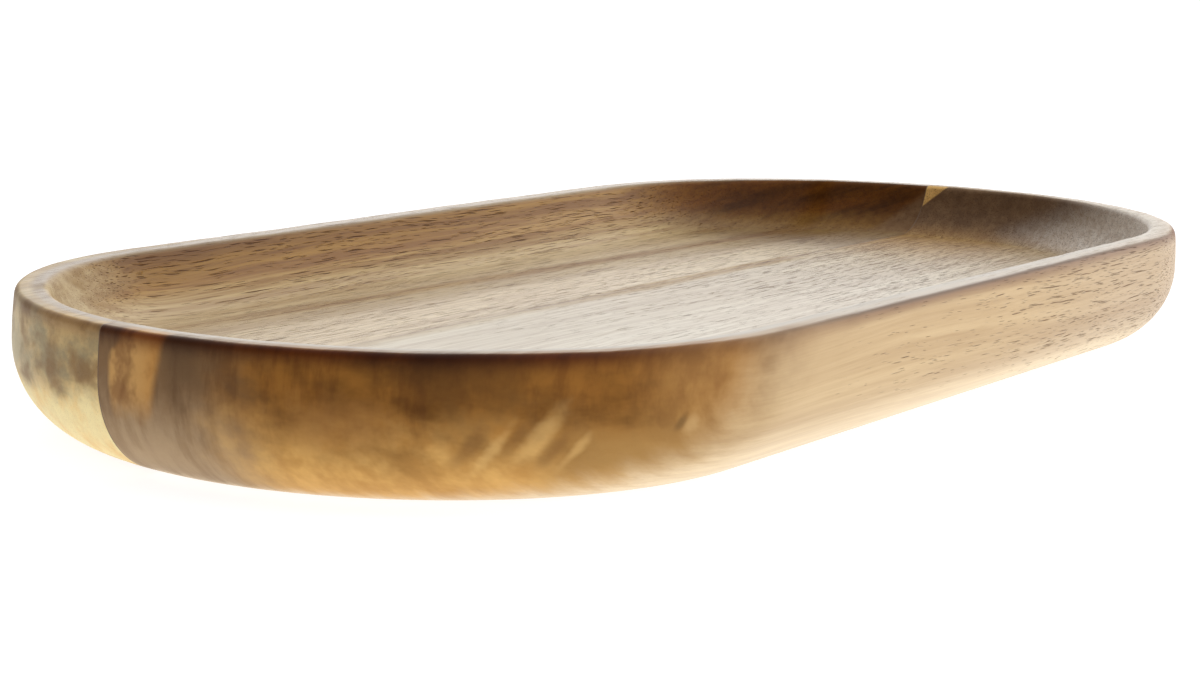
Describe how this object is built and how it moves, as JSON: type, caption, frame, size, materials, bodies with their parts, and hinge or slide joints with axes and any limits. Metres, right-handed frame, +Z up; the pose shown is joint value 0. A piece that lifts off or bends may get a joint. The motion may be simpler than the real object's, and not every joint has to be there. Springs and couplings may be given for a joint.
{
  "type": "serving platter",
  "caption": "Pill-shaped wooden serving platter of edge-glued staves, with a shallow coved well, a narrow flat rim and a rounded foot, for carrying and serving food.",
  "frame": {"origin": "middle of the flat foot face, on the surface that the platter stands on", "axes": "+X along the length and the wood's grain, +Y across the width from the wide stave towards the narrow stave, +Z up out of the well"},
  "size_m": [0.3, 0.14, 0.025],
  "materials": {
    "wide_stave_wood": "oiled satin, dark heartwood running into golden sapwood, end grain on both ends",
    "narrow_stave_wood": "oiled satin, tan-brown with dark pore dashes along the grain",
    "cured_wood_glue": "cured wood glue sanded flush with the wood"
  },
  "bodies": {
    "root": {"wide_stave": "wide_stave_wood", "narrow_stave": "narrow_stave_wood", "glue_line": "cured_wood_glue"}
  },
  "joints": []
}
